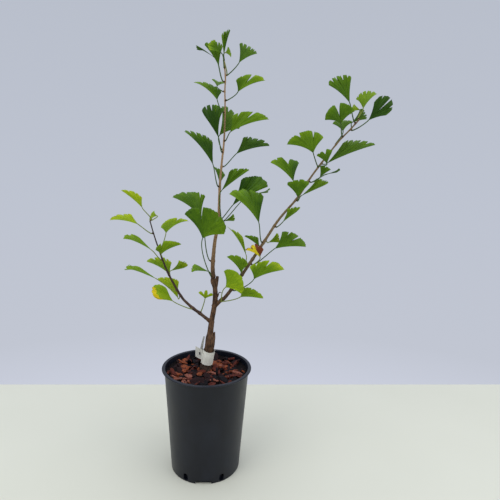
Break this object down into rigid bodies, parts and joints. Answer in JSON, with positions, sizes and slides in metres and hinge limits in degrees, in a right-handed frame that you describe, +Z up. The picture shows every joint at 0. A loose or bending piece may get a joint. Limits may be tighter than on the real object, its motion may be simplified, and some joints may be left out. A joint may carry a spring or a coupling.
{
  "type": "potted ginkgo tree",
  "caption": "Young grafted ginkgo tree in a tall round black nursery pot: a short dark trunk forks into slender upright shoots with sparse fan-shaped green leaves.",
  "frame": {"origin": "middle of the pot's flat underside", "axes": "+Z up, -Y towards the side the picture shows, +X to the right of it"},
  "size_m": [0.4559, 0.16, 0.7607],
  "materials": {
    "black_plastic": "satin black moulded polypropylene",
    "bark_chips": "rough reddish-brown bark mulch",
    "dark_bark": "dark rough bark",
    "shoot_bark": "pale tan young bark",
    "ginkgo_leaf": "soft leaf, fan veined",
    "white_plastic": "blank white film"
  },
  "bodies": {
    "root": {"compost": "bark_chips", "label": "white_plastic", "leader": "shoot_bark", "leader_spray_01": "ginkgo_leaf", "leader_spray_02": "ginkgo_leaf", "leader_spray_03": "ginkgo_leaf", "leader_spray_04": "ginkgo_leaf", "leader_spray_05": "ginkgo_leaf", "leader_spray_06": "ginkgo_leaf", "leader_spray_07": "ginkgo_leaf", "leader_spray_08": "ginkgo_leaf", "leader_spray_09": "ginkgo_leaf", "leader_spray_10": "ginkgo_leaf", "leader_spray_11": "ginkgo_leaf", "leader_spray_12": "ginkgo_leaf", "leader_spray_13": "ginkgo_leaf", "leader_spray_14": "ginkgo_leaf", "leader_spray_15": "ginkgo_leaf", "leader_spray_16": "ginkgo_leaf", "leader_spray_17": "ginkgo_leaf", "leader_spray_18": "ginkgo_leaf", "left_limb": "dark_bark", "left_spray_01": "ginkgo_leaf", "left_spray_02": "ginkgo_leaf", "left_spray_03": "ginkgo_leaf", "left_spray_04": "ginkgo_leaf", "left_spray_05": "ginkgo_leaf", "left_spray_06": "ginkgo_leaf", "left_spray_07": "ginkgo_leaf", "left_spray_08": "ginkgo_leaf", "left_spray_09": "ginkgo_leaf", "left_spray_10": "ginkgo_leaf", "left_spray_11": "ginkgo_leaf", "pot": "black_plastic", "right_limb": "shoot_bark", "right_spray_01": "ginkgo_leaf", "right_spray_02": "ginkgo_leaf", "right_spray_03": "ginkgo_leaf", "right_spray_04": "ginkgo_leaf", "right_spray_05": "ginkgo_leaf", "right_spray_06": "ginkgo_leaf", "right_spray_07": "ginkgo_leaf", "right_spray_08": "ginkgo_leaf", "right_spray_09": "ginkgo_leaf", "right_spray_10": "ginkgo_leaf", "right_spray_11": "ginkgo_leaf", "right_spray_12": "ginkgo_leaf", "right_spray_13": "ginkgo_leaf", "right_spray_14": "ginkgo_leaf", "right_spray_15": "ginkgo_leaf", "right_spray_16": "ginkgo_leaf", "right_spray_17": "ginkgo_leaf", "right_spray_18": "ginkgo_leaf", "right_spray_19": "ginkgo_leaf", "trunk": "dark_bark"}
  },
  "joints": []
}
